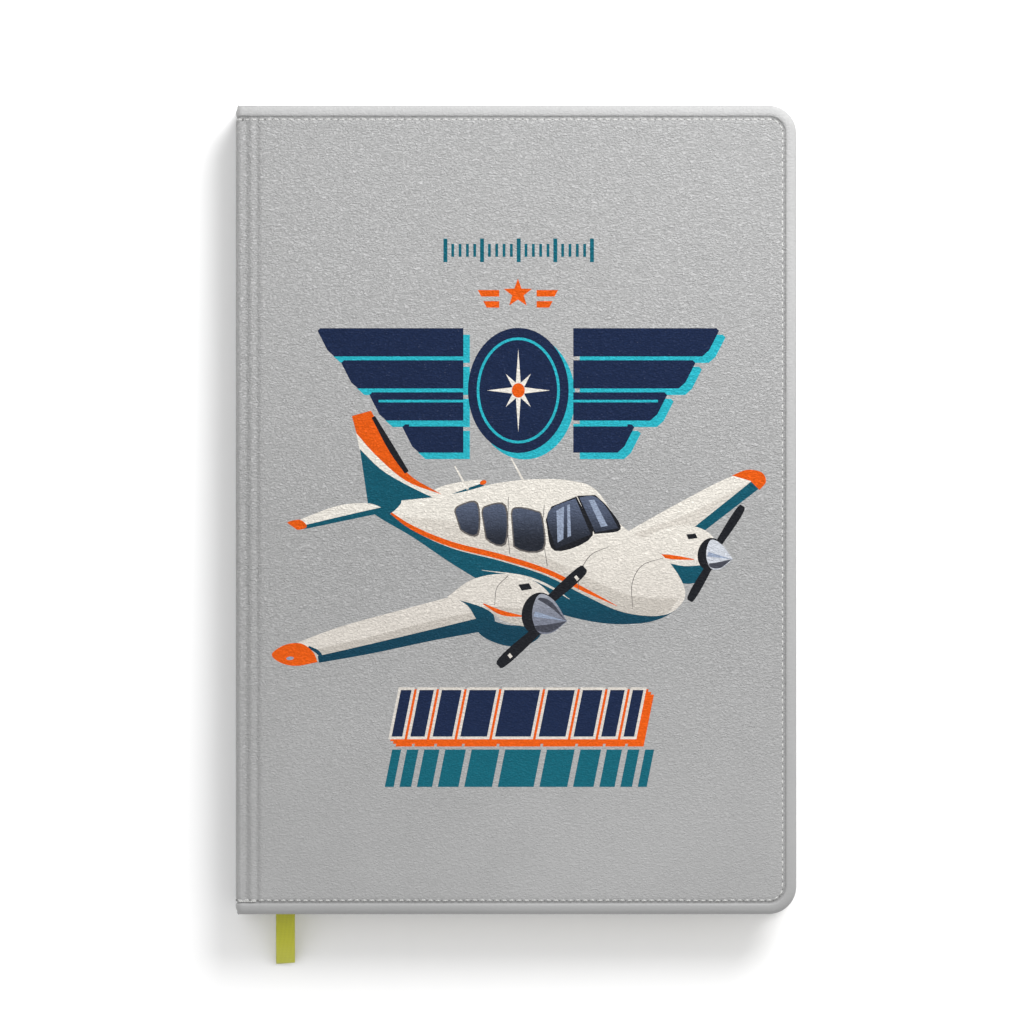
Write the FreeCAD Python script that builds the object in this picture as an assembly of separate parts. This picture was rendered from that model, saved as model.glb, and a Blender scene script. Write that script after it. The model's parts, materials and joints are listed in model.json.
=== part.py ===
"""Hardback logbook in A5 size: case of skin over board, twelve sewn sections, a ribbon marker.

The closed book lies on its back cover. X runs from the spine (-X) to the fore-edge (+X), Y from the
tail (-Y) to the head (+Y), and Z from the back cover up to the front cover. The origin is the middle
of the back cover's outer face. Millimetres.
"""
import FreeCAD, Part

import math
import os

V = FreeCAD.Vector

# ---------------------------------------------------------------- driving sizes
COVER_WIDTH = 147.0          # spine's outer face to fore-edge
COVER_HEIGHT = 212.0         # tail to head
CORNER_RADIUS = 7.3          # the covers' two corners at the fore-edge
SKIN = 0.7                   # outer layer of skin
TURN_IN = 0.4                # skin pared thin where it is turned in, and the card that fills between
BOARD = 1.7                  # cover board
PASTEDOWN = 0.2              # endpaper glued inside each cover
TURN_IN_WIDTH = 13.0         # how far the skin is turned in over the board
ENDPAPER_MARGIN = 2.0        # skin left showing round the pastedown
EDGE_ROUND = 1.1             # rounding of the covers' outer edges
INNER_ROUND = 0.5            # rounding of the covers' inner edges

SPINE_BOARD = 1.0            # strip inside the spine
SPINE_LINING = 0.4           # kraft paper inside the strip
MULL = 0.3                   # open-weave cloth on the lining
SPINE_MARGIN = 0.2           # how far strip and lining end short of the turning lines

SPINE_LOW = 2.1              # height of the spine's lower turning line, and its depth in the spine
FLAP_AIR = 0.1               # air between the spine's cloth and its flap under each cover

HINGE_WIDTH = 5.9            # spine's outer face to the boards' edge, flexible skin
GROOVE_DEPTH = 0.9           # how deep the two grooves of the hinge are pressed
RIDGE_DROP = 0.25            # how far the ridge between them stays below the cover
SHOULDER = 0.8               # height and width of the hinge's bevel into the spine

SQUARE = 3.0                 # how far the covers stand out past the pages, on three sides
SECTIONS = 12
SHEETS = 4                   # folded sheets in a section, two leaves each
LEAF = 0.09                  # thickness of one leaf
LEAF_AIR = 0.015             # air between two leaves of a section
SECTION_AIR = 0.03           # air between two sections
PAGE_CORNER = 4.5            # corner radius of the pages at the fore-edge
CORNER_FACETS = 5            # flat facets that make up a page's round corner
FLYLEAF = 0.15
COVER_AIR = 0.12             # air between flyleaf and pastedown

THREAD = 0.36                # diameter of the sewing thread
THREAD_AIR = 0.04            # air on both sides of the thread, between folds and spine cloth
STATIONS = 6                 # stitches along each fold
STATION_INSET = 14.0         # first and last stitch from the head and tail of the pages
STITCH_LENGTH = 9.0          # thread showing along a fold at one station

RIBBON_WIDTH = 5.0
RIBBON = 0.25                # thickness of the ribbon
RIBBON_AIR = 0.13            # air above and below it, between the two middle sections
RIBBON_START = 1.0           # how far its upper end stands out past the pages' head
RIBBON_TOP_X = 6.8           # centre line at the head, from the spine's outer face
RIBBON_END_X = 13.1          # centre line at the tail, from the spine's outer face
RIBBON_DROOP = [             # its line past the covers' tail edge: how far out, and how far down
    (2.5, 0.0),
    (8.8, 2.95),
    (12.6, 7.75),
]

BAND_BEAD = 1.5              # diameter of the bead of the head and tail bands
BAND_FLANGE = 4.5            # cloth of the bands glued down on the spine
BAND_CLOTH = 0.2             # thickness of that cloth
BAND_AIR = 0.3               # air between the bands' ends and the covers
CLOTH_INSET = 6.0            # mull's ends from the head and tail of the pages

EDGE_THREAD = 0.4            # diameter of the covers' edge thread
EDGE_INSET = 3.7             # from the covers' edge to the stitch line
STITCH_AIR = 0.05            # air round the edge thread in the groove it is pulled into
STITCH_START = 0.4           # first stitch from the hinge

# ---------------------------------------------------------------- sizes that follow
COVER = SKIN + BOARD + TURN_IN + PASTEDOWN
SECTION = 2 * SHEETS * (LEAF + LEAF_AIR) - LEAF_AIR
SECTION_PITCH = SECTION + SECTION_AIR
HALF = SECTIONS // 2
RIBBON_GAP = RIBBON + 2 * RIBBON_AIR - SECTION_AIR
ENDS = COVER_AIR + FLYLEAF + SECTION_AIR         # between a cover and the nearest section
BLOCK = SECTIONS * SECTION_PITCH - SECTION_AIR + RIBBON_GAP + 2 * ENDS
THICKNESS = 2 * COVER + BLOCK

SPINE_X = -COVER_WIDTH / 2
FORE_X = COVER_WIDTH / 2
HEAD_Y = COVER_HEIGHT / 2
BOARD_X = SPINE_X + HINGE_WIDTH
SPINE_WALL = SKIN + SPINE_BOARD + SPINE_LINING + MULL
CLOTH_X = SPINE_X + SPINE_WALL                   # inner face of the spine's cloth
FOLD_X = CLOTH_X + THREAD + 2 * THREAD_AIR
PAGE_X = FORE_X - SQUARE
PAGE_Y = HEAD_Y - SQUARE
TOP_IN = THICKNESS - COVER                       # inner face of the front cover
SPINE_HIGH = THICKNESS - SPINE_LOW               # height of the spine's upper turning line


# ---------------------------------------------------------------- helpers
def prism(points, along):
    """A solid from a closed outline of points, pushed along a vector."""
    return Part.Face(Part.makePolygon(points + points[:1])).extrude(along)


def box(x0, x1, y0, y1, z0, z1):
    return Part.makeBox(x1 - x0, y1 - y0, z1 - z0, V(x0, y0, z0))


def cover_outline(inset, left, radius, z):
    """Outline of a cover at height z: square at the left, two round corners at the fore-edge."""
    right, top = FORE_X - inset, HEAD_Y - inset
    k = radius * math.sqrt(0.5)
    cx, cy = right - radius, top - radius
    edges = [
        Part.LineSegment(V(left, top, z), V(cx, top, z)),
        Part.Arc(V(cx, top, z), V(cx + k, cy + k, z), V(right, cy, z)),
        Part.LineSegment(V(right, cy, z), V(right, -cy, z)),
        Part.Arc(V(right, -cy, z), V(cx + k, -cy - k, z), V(cx, -top, z)),
        Part.LineSegment(V(cx, -top, z), V(left, -top, z)),
        Part.LineSegment(V(left, -top, z), V(left, top, z)),
    ]
    return Part.Wire([e.toShape() for e in edges])


def cover_plate(inset, left, z0, z1):
    """A plate with the cover's outline, drawn in by inset, between two heights."""
    radius = max(CORNER_RADIUS - inset, 0.5)
    return Part.Face(cover_outline(inset, left, radius, z0)).extrude(V(0, 0, z1 - z0))


def edges_at(shape, z, left):
    """The edges of a plate that lie at height z, apart from those on its left end."""
    found = []
    for edge in shape.Edges:
        b = edge.BoundBox
        if abs(b.ZMin - z) < 1e-6 and abs(b.ZMax - z) < 1e-6 and b.XMax > left + 1e-3:
            found.append(edge)
    return found


def flipped(shape):
    """The same piece on the other cover: mirrored through the book's middle height."""
    return shape.mirror(V(0, 0, THICKNESS / 2), V(0, 0, 1))


# ---------------------------------------------------------------- one cover, drawn as the back cover
def cover_skin():
    """Skin over the board and turned in round three edges. Its cut edge meets the hinge strip."""
    inside = SKIN + BOARD + TURN_IN
    shell = cover_plate(0, BOARD_X, 0, inside)
    shell = shell.makeFillet(EDGE_ROUND, edges_at(shell, 0, BOARD_X))
    shell = shell.makeFillet(INNER_ROUND, edges_at(shell, inside, BOARD_X))
    window = cover_plate(TURN_IN_WIDTH, BOARD_X, SKIN + BOARD, inside)
    half = EDGE_THREAD / 2 + STITCH_AIR
    groove = cover_plate(EDGE_INSET - half, BOARD_X, 0, 2 * half)
    groove = groove.cut(cover_plate(EDGE_INSET + half, BOARD_X, 0, 2 * half))
    return shell.cut(cover_board()).cut(window).cut(groove)


def cover_board():
    """Board, set in from the edges by the skin's thickness."""
    return cover_plate(SKIN, BOARD_X, SKIN, SKIN + BOARD)


def infill_card():
    """Card that fills the field between the turn-ins."""
    return cover_plate(TURN_IN_WIDTH, BOARD_X, SKIN + BOARD, SKIN + BOARD + TURN_IN)


def pastedown():
    """Endpaper glued over card and turn-ins."""
    return cover_plate(ENDPAPER_MARGIN, BOARD_X, COVER - PASTEDOWN, COVER)


def hinge_profile(depth):
    """The hinge's outline from the board's edge round the shoulder, depth below the skin's face.

    Groove, ridge, groove and shoulder follow each other at even shares of the hinge's width.
    """
    step = HINGE_WIDTH / 8
    slant = SHOULDER * (SKIN + depth) / SKIN
    return [
        V(BOARD_X, 0, depth),
        V(BOARD_X - step, 0, depth + GROOVE_DEPTH),
        V(BOARD_X - 2 * step, 0, depth + RIDGE_DROP),
        V(BOARD_X - 4 * step, 0, depth + GROOVE_DEPTH),
        V(SPINE_X + 2 * step, 0, depth + RIDGE_DROP),
        V(SPINE_X + slant / 2, 0, slant),
        V(SPINE_X + depth, 0, SPINE_LOW),
    ]


def hinge_skin():
    """Flexible strip of skin between the board and the spine, pressed into two grooves."""
    strip = prism(hinge_profile(0.0) + hinge_profile(SKIN)[::-1], V(0, COVER_HEIGHT, 0))
    strip.translate(V(0, -HEAD_Y, 0))
    return strip


def mull_flap():
    """The cloth's flap, from the spine across the hinge to the board's edge."""
    y = PAGE_Y - CLOTH_INSET
    return box(CLOTH_X + FLAP_AIR, BOARD_X, -y, y, COVER - PASTEDOWN - MULL, COVER - PASTEDOWN)


def endpaper_hinge():
    """The endpaper's fold, from the pastedown across the hinge to the folds of the sections."""
    return box(FOLD_X, BOARD_X, -PAGE_Y, PAGE_Y, COVER - PASTEDOWN, COVER)


def edge_thread():
    """Edge stitching as one bead along three sides, in the groove of the skin."""
    z = EDGE_THREAD / 2 + STITCH_AIR
    right, top = FORE_X - EDGE_INSET, HEAD_Y - EDGE_INSET
    radius = CORNER_RADIUS - EDGE_INSET
    k = radius * math.sqrt(0.5)
    cx, cy = right - radius, top - radius
    left = BOARD_X + STITCH_START
    path = Part.Wire([e.toShape() for e in (
        Part.LineSegment(V(left, top, z), V(cx, top, z)),
        Part.Arc(V(cx, top, z), V(cx + k, cy + k, z), V(right, cy, z)),
        Part.LineSegment(V(right, cy, z), V(right, -cy, z)),
        Part.Arc(V(right, -cy, z), V(cx + k, -cy - k, z), V(cx, -top, z)),
        Part.LineSegment(V(cx, -top, z), V(left, -top, z)),
    )])
    ring = Part.Wire(Part.Circle(V(left, top, z), V(1, 0, 0), EDGE_THREAD / 2).toShape())
    return path.makePipeShell([ring], True, False)


# ---------------------------------------------------------------- spine
def spine_layer(start, thick, y, margin=0.0):
    """One flat layer of the spine, start in from its outer face, between the turning lines."""
    x = SPINE_X + start
    return box(x, x + thick, -y, y, SPINE_LOW + margin, SPINE_HIGH - margin)


def band(side):
    """Head or tail band: a bead over the folds' end, and its cloth glued on the spine."""
    z0, z1 = COVER + BAND_AIR, TOP_IN - BAND_AIR
    radius = BAND_BEAD / 2
    middle = PAGE_Y + radius + THREAD_AIR
    bead = Part.makeCylinder(radius, z1 - z0, V(CLOTH_X + radius, side * middle, z0))
    low, high = sorted((side * (PAGE_Y - BAND_FLANGE), side * middle))
    cloth = box(CLOTH_X, CLOTH_X + BAND_CLOTH, low, high, z0, z1)
    return bead.fuse(cloth).removeSplitter()


# ---------------------------------------------------------------- pages
def page_outline(z):
    """Outline of a page: square at the fold, corners of flat facets at the fore-edge."""
    points = [V(FOLD_X - 1, PAGE_Y, z)]
    step = math.pi / 2 / CORNER_FACETS
    for sign in (1, -1):
        cx, cy = PAGE_X - PAGE_CORNER, sign * (PAGE_Y - PAGE_CORNER)
        turn = range(CORNER_FACETS + 1)
        for i in (turn if sign > 0 else reversed(turn)):
            a = math.pi / 2 - i * step
            points.append(V(cx + PAGE_CORNER * math.cos(a), cy + sign * PAGE_CORNER * math.sin(a), z))
    return points + [V(FOLD_X - 1, -PAGE_Y, z)]


def fold_points(back, low, high, bend):
    """The fold from the lower leaf up to the upper one, as a half round of flat facets."""
    points = [V(back + bend, 0, low), V(back, 0, low + bend)]
    if high - low > 2 * bend + 1e-6:
        points.append(V(back, 0, high - bend))
    return points + [V(back + bend, 0, high)]


def folded_sheet(number, z):
    """One folded sheet of a section that starts at height z: two leaves joined at the fold."""
    pitch = LEAF + LEAF_AIR
    low = z + number * pitch
    high = z + SECTION - number * pitch
    back = FOLD_X + number * pitch
    bend = min((high - low) / 2, 3 * pitch)
    outside = [V(PAGE_X, 0, low)] + fold_points(back, low, high, bend) + [V(PAGE_X, 0, high)]
    inside = [V(PAGE_X, 0, low + LEAF)]
    inside += fold_points(back + LEAF, low + LEAF, high - LEAF, bend - LEAF)
    inside += [V(PAGE_X, 0, high - LEAF)]
    sheet = prism(outside + inside[::-1], V(0, 2 * PAGE_Y + 2, 0))
    sheet.translate(V(0, -PAGE_Y - 1, 0))
    return sheet.common(prism(page_outline(z - 1), V(0, 0, SECTION + 2)))


def section_z(number):
    """Height of a section's lowest face. Number 1 is the front one, at the top."""
    below = SECTIONS - number
    gap = RIBBON_GAP if below >= HALF else 0.0
    return COVER + ENDS + below * SECTION_PITCH + gap


def section(number):
    z = section_z(number)
    return Part.makeCompound([folded_sheet(i, z).Solids[0] for i in range(SHEETS)])


def stitches(number):
    """Thread of one section: a short run along the outside of its fold at each station."""
    z = section_z(number) + SECTION / 2
    span = 2 * (PAGE_Y - STATION_INSET)
    runs = []
    for i in range(STATIONS):
        y = -span / 2 + i * span / (STATIONS - 1)
        x = FOLD_X - THREAD_AIR - THREAD / 2
        runs.append(Part.makeCylinder(THREAD / 2, STITCH_LENGTH, V(x, y - STITCH_LENGTH / 2, z),
                                      V(0, 1, 0)))
    return Part.makeCompound(runs)


def flyleaf(z):
    """A single leaf of endpaper."""
    leaf = prism(page_outline(z), V(0, 0, FLYLEAF))
    return leaf.common(box(FOLD_X, PAGE_X + 1, -HEAD_Y, HEAD_Y, z - 1, z + 1))


def ribbon_line(across):
    """The ribbon's line from its end to its head, across above the middle: (length, height).

    Runs joined by tangent arcs, each arc as large as its two runs allow.
    """
    start = PAGE_Y + RIBBON_START
    points = [V(start + HEAD_Y + out, -down, 0) for out, down in RIBBON_DROOP[::-1]]
    points.append(V(0, 0, 0))
    edges, at = [], points[0] + across * normal_between(points[0], points[1])
    for before, corner, after in zip(points, points[1:], points[2:]):
        one, two = before - corner, after - corner
        turn = math.pi - one.getAngle(two)
        radius = 0.45 * min(one.Length, two.Length) / math.tan(turn / 2)
        reach = radius * math.tan(turn / 2)
        first = corner + one.normalize() * reach
        last = corner + two.normalize() * reach
        centre = corner + (one + two).normalize() * (radius / math.cos(turn / 2))
        middle = centre + (corner - centre).normalize() * radius
        grown = [centre + (p - centre) * ((radius + across) / radius) for p in (first, middle, last)]
        edges += [Part.LineSegment(at, grown[0]).toShape(), Part.Arc(*grown).toShape()]
        at = grown[2]
        print("ribbon arc radius", round(radius, 2))
    end = points[-1] + across * normal_between(points[-2], points[-1])
    return edges + [Part.LineSegment(at, end).toShape()]


def normal_between(one, two):
    """Unit normal of the line from one to two, upwards."""
    along = (two - one).normalize()
    return V(along.y, -along.x, 0)


def ribbon():
    """Flat ribbon between the two middle sections, from the head to its end past the tail."""
    upper, lower = ribbon_line(RIBBON / 2), ribbon_line(-RIBBON / 2)
    ends = [
        Part.LineSegment(lower[0].Vertexes[0].Point, upper[0].Vertexes[0].Point).toShape(),
        Part.LineSegment(lower[-1].Vertexes[-1].Point, upper[-1].Vertexes[-1].Point).toShape(),
    ]
    outline = Part.Wire(Part.__sortEdges__(upper + lower + ends))
    strip = Part.Face(outline).extrude(V(0, 0, RIBBON_WIDTH))
    strip.translate(V(0, 0, -RIBBON_WIDTH / 2))
    strip.rotate(V(0, 0, 0), V(1, 0, 0), 90)
    length = PAGE_Y + RIBBON_START + HEAD_Y + RIBBON_DROOP[-1][0]
    slant = math.degrees(math.atan2(RIBBON_END_X - RIBBON_TOP_X, length))
    strip.rotate(V(0, 0, 0), V(0, 0, 1), slant - 90)
    strip.translate(V(SPINE_X + RIBBON_TOP_X, PAGE_Y + RIBBON_START, THICKNESS / 2))
    return strip


# ---------------------------------------------------------------- the book
def nodes():
    made = {}
    cover = {
        "cover_skin": cover_skin, "board": cover_board, "infill_card": infill_card,
        "pastedown": pastedown, "hinge_skin": hinge_skin, "mull_flap": mull_flap,
        "endpaper_hinge": endpaper_hinge, "edge_thread": edge_thread,
    }
    for name, make in cover.items():
        piece = make()
        made["back_" + name] = piece
        made["front_" + name] = flipped(piece)
    made["spine_skin"] = spine_layer(0, SKIN, HEAD_Y)
    made["spine_board"] = spine_layer(SKIN, SPINE_BOARD, HEAD_Y - SKIN, SPINE_MARGIN)
    made["spine_lining"] = spine_layer(SKIN + SPINE_BOARD, SPINE_LINING, PAGE_Y, SPINE_MARGIN)
    made["spine_mull"] = spine_layer(SPINE_WALL - MULL, MULL, PAGE_Y - CLOTH_INSET,
                                     COVER - SPINE_LOW)
    made["head_band"] = band(1)
    made["tail_band"] = band(-1)
    for number in range(1, SECTIONS + 1):
        made[f"section_{number:02d}"] = section(number)
        made[f"section_{number:02d}_thread"] = stitches(number)
    made["back_flyleaf"] = flyleaf(COVER + COVER_AIR)
    made["front_flyleaf"] = flyleaf(TOP_IN - COVER_AIR - FLYLEAF)
    made["ribbon_marker"] = ribbon()
    return made


def main():
    os.makedirs("parts", exist_ok=True)
    for name, shape in nodes().items():
        good = shape.isValid() and all(s.Volume > 0 for s in shape.Solids)
        print(f"{name:24s} solids {len(shape.Solids):2d}  volume {shape.Volume:10.2f}  valid {good}")
        shape.exportStep(f"parts/{name}.step")
    print("thickness", round(THICKNESS, 3), "pages", 4 * SECTIONS * SHEETS)


main()
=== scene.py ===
import json
import math
import random

import bmesh
import bpy
import numpy as np
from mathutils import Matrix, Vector
from mathutils.geometry import delaunay_2d_cdt


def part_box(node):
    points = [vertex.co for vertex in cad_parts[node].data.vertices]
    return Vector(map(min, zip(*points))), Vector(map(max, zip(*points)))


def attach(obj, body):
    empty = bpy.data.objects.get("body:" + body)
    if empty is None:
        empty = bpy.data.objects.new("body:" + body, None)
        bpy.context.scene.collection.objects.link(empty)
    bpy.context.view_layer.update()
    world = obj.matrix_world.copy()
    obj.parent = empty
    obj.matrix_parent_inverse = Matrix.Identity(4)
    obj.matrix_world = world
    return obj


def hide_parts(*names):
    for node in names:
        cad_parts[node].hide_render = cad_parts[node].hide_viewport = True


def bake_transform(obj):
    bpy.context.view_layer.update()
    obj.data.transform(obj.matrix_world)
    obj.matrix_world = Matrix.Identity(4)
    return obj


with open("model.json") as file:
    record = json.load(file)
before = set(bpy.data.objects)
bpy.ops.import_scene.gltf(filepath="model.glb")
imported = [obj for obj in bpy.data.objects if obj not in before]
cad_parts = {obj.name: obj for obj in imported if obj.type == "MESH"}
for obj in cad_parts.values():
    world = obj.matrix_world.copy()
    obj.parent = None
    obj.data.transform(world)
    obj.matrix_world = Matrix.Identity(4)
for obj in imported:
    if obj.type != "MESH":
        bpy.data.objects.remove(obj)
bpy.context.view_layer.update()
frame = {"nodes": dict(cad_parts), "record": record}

# ---- places, from the frame (mm)
MM = 0.001


def box_mm(node):
    low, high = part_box(node)
    return [v / MM for v in low], [v / MM for v in high]


COVER_LOW, COVER_HIGH = box_mm("front_cover_skin")
SPINE_X = box_mm("spine_skin")[0][0]
FORE_X = COVER_HIGH[0]
HEAD_Y = COVER_HIGH[1]
TOP = COVER_HIGH[2]
SKIN_DEEP = TOP - COVER_LOW[2]  # outer face of a cover down to its turned-in skin
COVER_MIDDLE = ((SPINE_X + FORE_X) / 2, 0.0)

# ---- sizes of the looks (mm)
CORNER_RADIUS = 7.3
SHARPEST = 0.8  # radius that an outline's corner keeps at any inset
STITCH_INSET = 3.7
STITCH_PITCH = 1.93
STITCH_LENGTH = 1.35
STITCH_RADIUS = 0.21
STITCH_SLEW = 0.07  # how far a stitch may turn out of line, in radians
STITCH_STRAY = 0.05  # and lie beside it
HOLE_LENGTH = 0.56  # dimple between two stitches
HOLE_RADIUS = 0.29
HOLE_SUNK = 0.17
BACK_TACK = 5  # stitches sewn over again at the tail
BACK_TACK_PITCH = 0.85
FIELD_INSET = 5.6  # where the rim's profile ends and the flat field begins
FIELD_X = SPINE_X + 7.5  # where the hinge's profile ends
SHARP_FROM = 55  # cut edges of the skin, in degrees
LEATHER = 0.35  # thickness of the skin's mesh
RIBBON_WIDTH = 5.0
RIBBON_THICK = 0.22
RIBBON_LANES = 14  # strips across its width
RIBBON_CUT = 0.75  # slant of its cut end
VIEW_WIDTH = 268.3  # what the camera sees at the cover's height
VIEW_CENTRE = (-1.05, -0.56)
CAMERA_HEIGHT = 2000.0
SENSOR = 36.0
FLOOR_HALF = 3000
FIELD_DEPTH = 0.05  # the field lies this much under the rim's top

# Profile of the cover's rim: inset from the edge, depth below the cover's face.
RIM = [
    (FIELD_INSET, FIELD_DEPTH), (4.9, FIELD_DEPTH), (4.5, 0.06), (4.15, 0.1), (3.85, 0.17),
    (3.55, 0.24), (3.3, 0.36), (3.1, 0.5), (2.95, 0.46), (2.8, 0.24), (2.6, 0.08), (2.35, 0.01),
    (2.0, 0.0), (1.6, 0.03), (1.2, 0.11), (0.85, 0.23), (0.55, 0.41), (0.28, 0.68), (0.1, 1.0),
    (0.0, 1.35), (0.0, 1.7), (0.1, 2.1), (0.3, 2.42), (0.6, 2.64), (1.0, 2.76), (1.5, 2.8),
    (2.4, 2.8),
]
RIM_FACE = 20  # the points of it from the field out to the edge
SQUEEZED_FROM = 0.7  # depth from which a thinner wall squeezes the profile

# Outer profile of the case from the middle of the spine to the board: x from the spine's face,
# depth below the cover's face between head and tail, and depth at the very head and tail.
SHOULDER = [
    (0.0, 5.2, 5.2), (0.0, 4.0, 4.0), (0.0, 3.0, 3.0), (0.05, 2.2, 2.2), (0.2, 1.55, 1.55),
    (0.5, 1.02, 1.0), (0.9, 0.68, 0.64), (1.35, 0.52, 0.44), (1.75, 0.58, 0.38),
    (2.1, 0.84, 0.36), (2.6, 0.97, 0.34), (3.1, 0.86, 0.3), (3.6, 0.58, 0.26), (4.1, 0.36, 0.22),
    (4.6, 0.34, 0.2), (5.0, 0.46, 0.19), (5.4, 0.56, 0.18), (5.8, 0.5, 0.16),
    (6.2, 0.3, 0.13), (6.6, 0.14, 0.09), (7.0, 0.07, 0.06),
    (FIELD_X - SPINE_X, FIELD_DEPTH, FIELD_DEPTH),
]
SHOULDER_STEPS = 3
CASE_FACE = 1.6  # the profile is the case's upper face down to this depth
CAP_FADE = (2.2, 4.6)  # insets between which the hinge's grooves fade in
SPINE_CORNER = 1.5  # rounding of the case's outline at the spine
SPINE_ROUND = (0.5, 3.0)  # insets between which that rounding fades out
CORNER_SHARE = 0.3  # how much of it the strip takes
SPINE_WALL = 1.7  # skin and strip together, where the skin is turned in
HINGE_WALL = 1.35
SPINE_WALL_TO = 1.2  # the walls' ends, from the spine's face
HINGE_WALL_TO = 5.6
LEAN_DEPTHS = (3.2, 0.5)  # depths between which inwards turns from level to down
STRIP_ROWS = 48


# ---- meshes
def spline(points, steps):
    """Catmull-Rom curve through the points, steps parts between two of them."""
    p = np.array(points, float)
    p = np.vstack([2 * p[0] - p[1], p, 2 * p[-1] - p[-2]])
    out = []
    for a, b, c, d in zip(p, p[1:], p[2:], p[3:]):
        for t in np.arange(steps) / steps:
            out.append(0.5 * (2 * b + (c - a) * t + (2 * a - 5 * b + 4 * c - d) * t ** 2
                              + (3 * b - a - 3 * c + d) * t ** 3))
    return np.array(out + [p[-2]])


def new_object(name, verts, faces, smooth=True):
    """A mesh object from points in mm."""
    mesh = bpy.data.meshes.new(name)
    mesh.from_pydata([tuple(np.array(v) * MM) for v in verts], [], faces)
    mesh.update()
    obj = bpy.data.objects.new(name, mesh)
    bpy.context.scene.collection.objects.link(obj)
    for polygon in mesh.polygons:
        polygon.use_smooth = smooth
    return obj


def tidy_mesh(obj, distance=None):
    """Turns all faces outwards. distance: points closer than this, in mm, are joined first."""
    bm = bmesh.new()
    bm.from_mesh(obj.data)
    if distance is not None:
        bmesh.ops.remove_doubles(bm, verts=bm.verts, dist=distance * MM)
    bmesh.ops.recalc_face_normals(bm, faces=bm.faces)
    bm.to_mesh(obj.data)
    bm.free()


def apply_modifiers(obj):
    """The object's mesh becomes what its modifiers make of it."""
    made = bpy.data.meshes.new_from_object(
        obj.evaluated_get(bpy.context.evaluated_depsgraph_get()))
    obj.modifiers.clear()
    obj.data = made


def keep_rest(obj):
    """Stores where each point is at rest, so that a pattern stays on the piece as it bends."""
    mesh = obj.data
    values = np.zeros(3 * len(mesh.vertices), np.float32)
    mesh.vertices.foreach_get("co", values)
    mesh.attributes.new("rest", "FLOAT_VECTOR", "POINT").data.foreach_set("vector", values)


# ---- shader nodes
class Nodes:
    """A material's node tree, with short ways to add nodes. Most return an output socket."""

    def __init__(self, name):
        self.material = bpy.data.materials.new(name)
        self.material.use_nodes = True
        self.tree = self.material.node_tree
        self.tree.nodes.clear()
        self.shader = self.add("ShaderNodeBsdfPrincipled")
        self.add("ShaderNodeOutputMaterial", {0: self.shader.outputs[0]})

    def put(self, node, inputs):
        """Sets a node's sockets to values or joins them to outputs. None leaves one as it is."""
        for key, value in inputs.items():
            if isinstance(value, bpy.types.NodeSocket):
                self.tree.links.new(value, node.inputs[key])
            elif value is not None:
                node.inputs[key].default_value = value

    def add(self, kind, inputs=None, **settings):
        """A new node."""
        node = self.tree.nodes.new(kind)
        for key, value in settings.items():
            setattr(node, key, value)
        self.put(node, inputs or {})
        return node

    def rest(self, scale=(1, 1, 1), turn=0.0):
        """Coordinates in mm that stay on a bending piece."""
        source = self.add("ShaderNodeAttribute", attribute_type="GEOMETRY", attribute_name="rest")
        return self.mapped(source.outputs["Vector"], scale, turn)

    def place(self, scale=(1, 1, 1), turn=0.0):
        """Coordinates in mm of a piece that doesn't bend."""
        return self.mapped(self.add("ShaderNodeTexCoord").outputs["Object"], scale, turn)

    def mapped(self, source, scale, turn):
        inputs = {"Vector": source, "Rotation": (0, 0, turn), "Scale": [MM / v for v in scale]}
        return self.add("ShaderNodeMapping", inputs, vector_type="TEXTURE").outputs[0]

    def noise(self, vector, detail=2.0, rough=0.5, distortion=0.0):
        return self.add("ShaderNodeTexNoise", {
            "Vector": vector, "Scale": 1.0, "Detail": detail, "Roughness": rough,
            "Distortion": distortion}).outputs[0]

    def voronoi(self, vector, smooth=None):
        """Distance from cells one unit apart. smooth: how far they run into each other."""
        return self.add("ShaderNodeTexVoronoi",
                        {"Vector": vector, "Scale": 1.0, "Smoothness": smooth},
                        feature="F1" if smooth is None else "SMOOTH_F1").outputs["Distance"]

    def wave(self, vector, scale, direction="X", distortion=0.0):
        inputs = {"Vector": vector, "Scale": scale, "Distortion": distortion, "Detail": 1.0}
        return self.add("ShaderNodeTexWave", inputs, bands_direction=direction).outputs["Fac"]

    def math(self, operation, *values):
        return self.add("ShaderNodeMath", dict(enumerate(values)), operation=operation).outputs[0]

    def ramp(self, value, low, high, to_low=0.0, to_high=1.0):
        """A smooth step between two values."""
        return self.add("ShaderNodeMapRange", {
            "Value": value, "From Min": low, "From Max": high, "To Min": to_low,
            "To Max": to_high}, interpolation_type="SMOOTHSTEP").outputs[0]

    def mix(self, factor, a, b):
        """A blend of two colours."""
        return self.add("ShaderNodeMix", {0: factor, 6: a, 7: b}, data_type="RGBA").outputs[2]

    def split(self, vector):
        return self.add("ShaderNodeSeparateXYZ", {0: vector}).outputs

    def bump(self, height, depth, before=None):
        """A bump of the given depth in mm."""
        return self.add("ShaderNodeBump", {
            "Strength": 1.0, "Distance": depth * MM, "Height": height,
            "Normal": before}).outputs[0]

    def finish(self, color, rough, normal=None, specular=None, sheen=None):
        """Fills in the shader's sockets, and returns the material."""
        self.put(self.shader, {"Base Color": color, "Roughness": rough, "Normal": normal,
                               "Specular IOR Level": specular, "Sheen Weight": sheen})
        return self.material


def times(color, factor):
    """A colour made darker or lighter."""
    return [c * factor for c in color[:3]] + [1]


def srgb(r, g, b):
    """Linear colour from 0-255 display values."""
    def one(v):
        v = v / 255
        return v / 12.92 if v <= 0.04045 else ((v + 0.055) / 1.055) ** 2.4
    return one(r), one(g), one(b), 1.0


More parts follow.
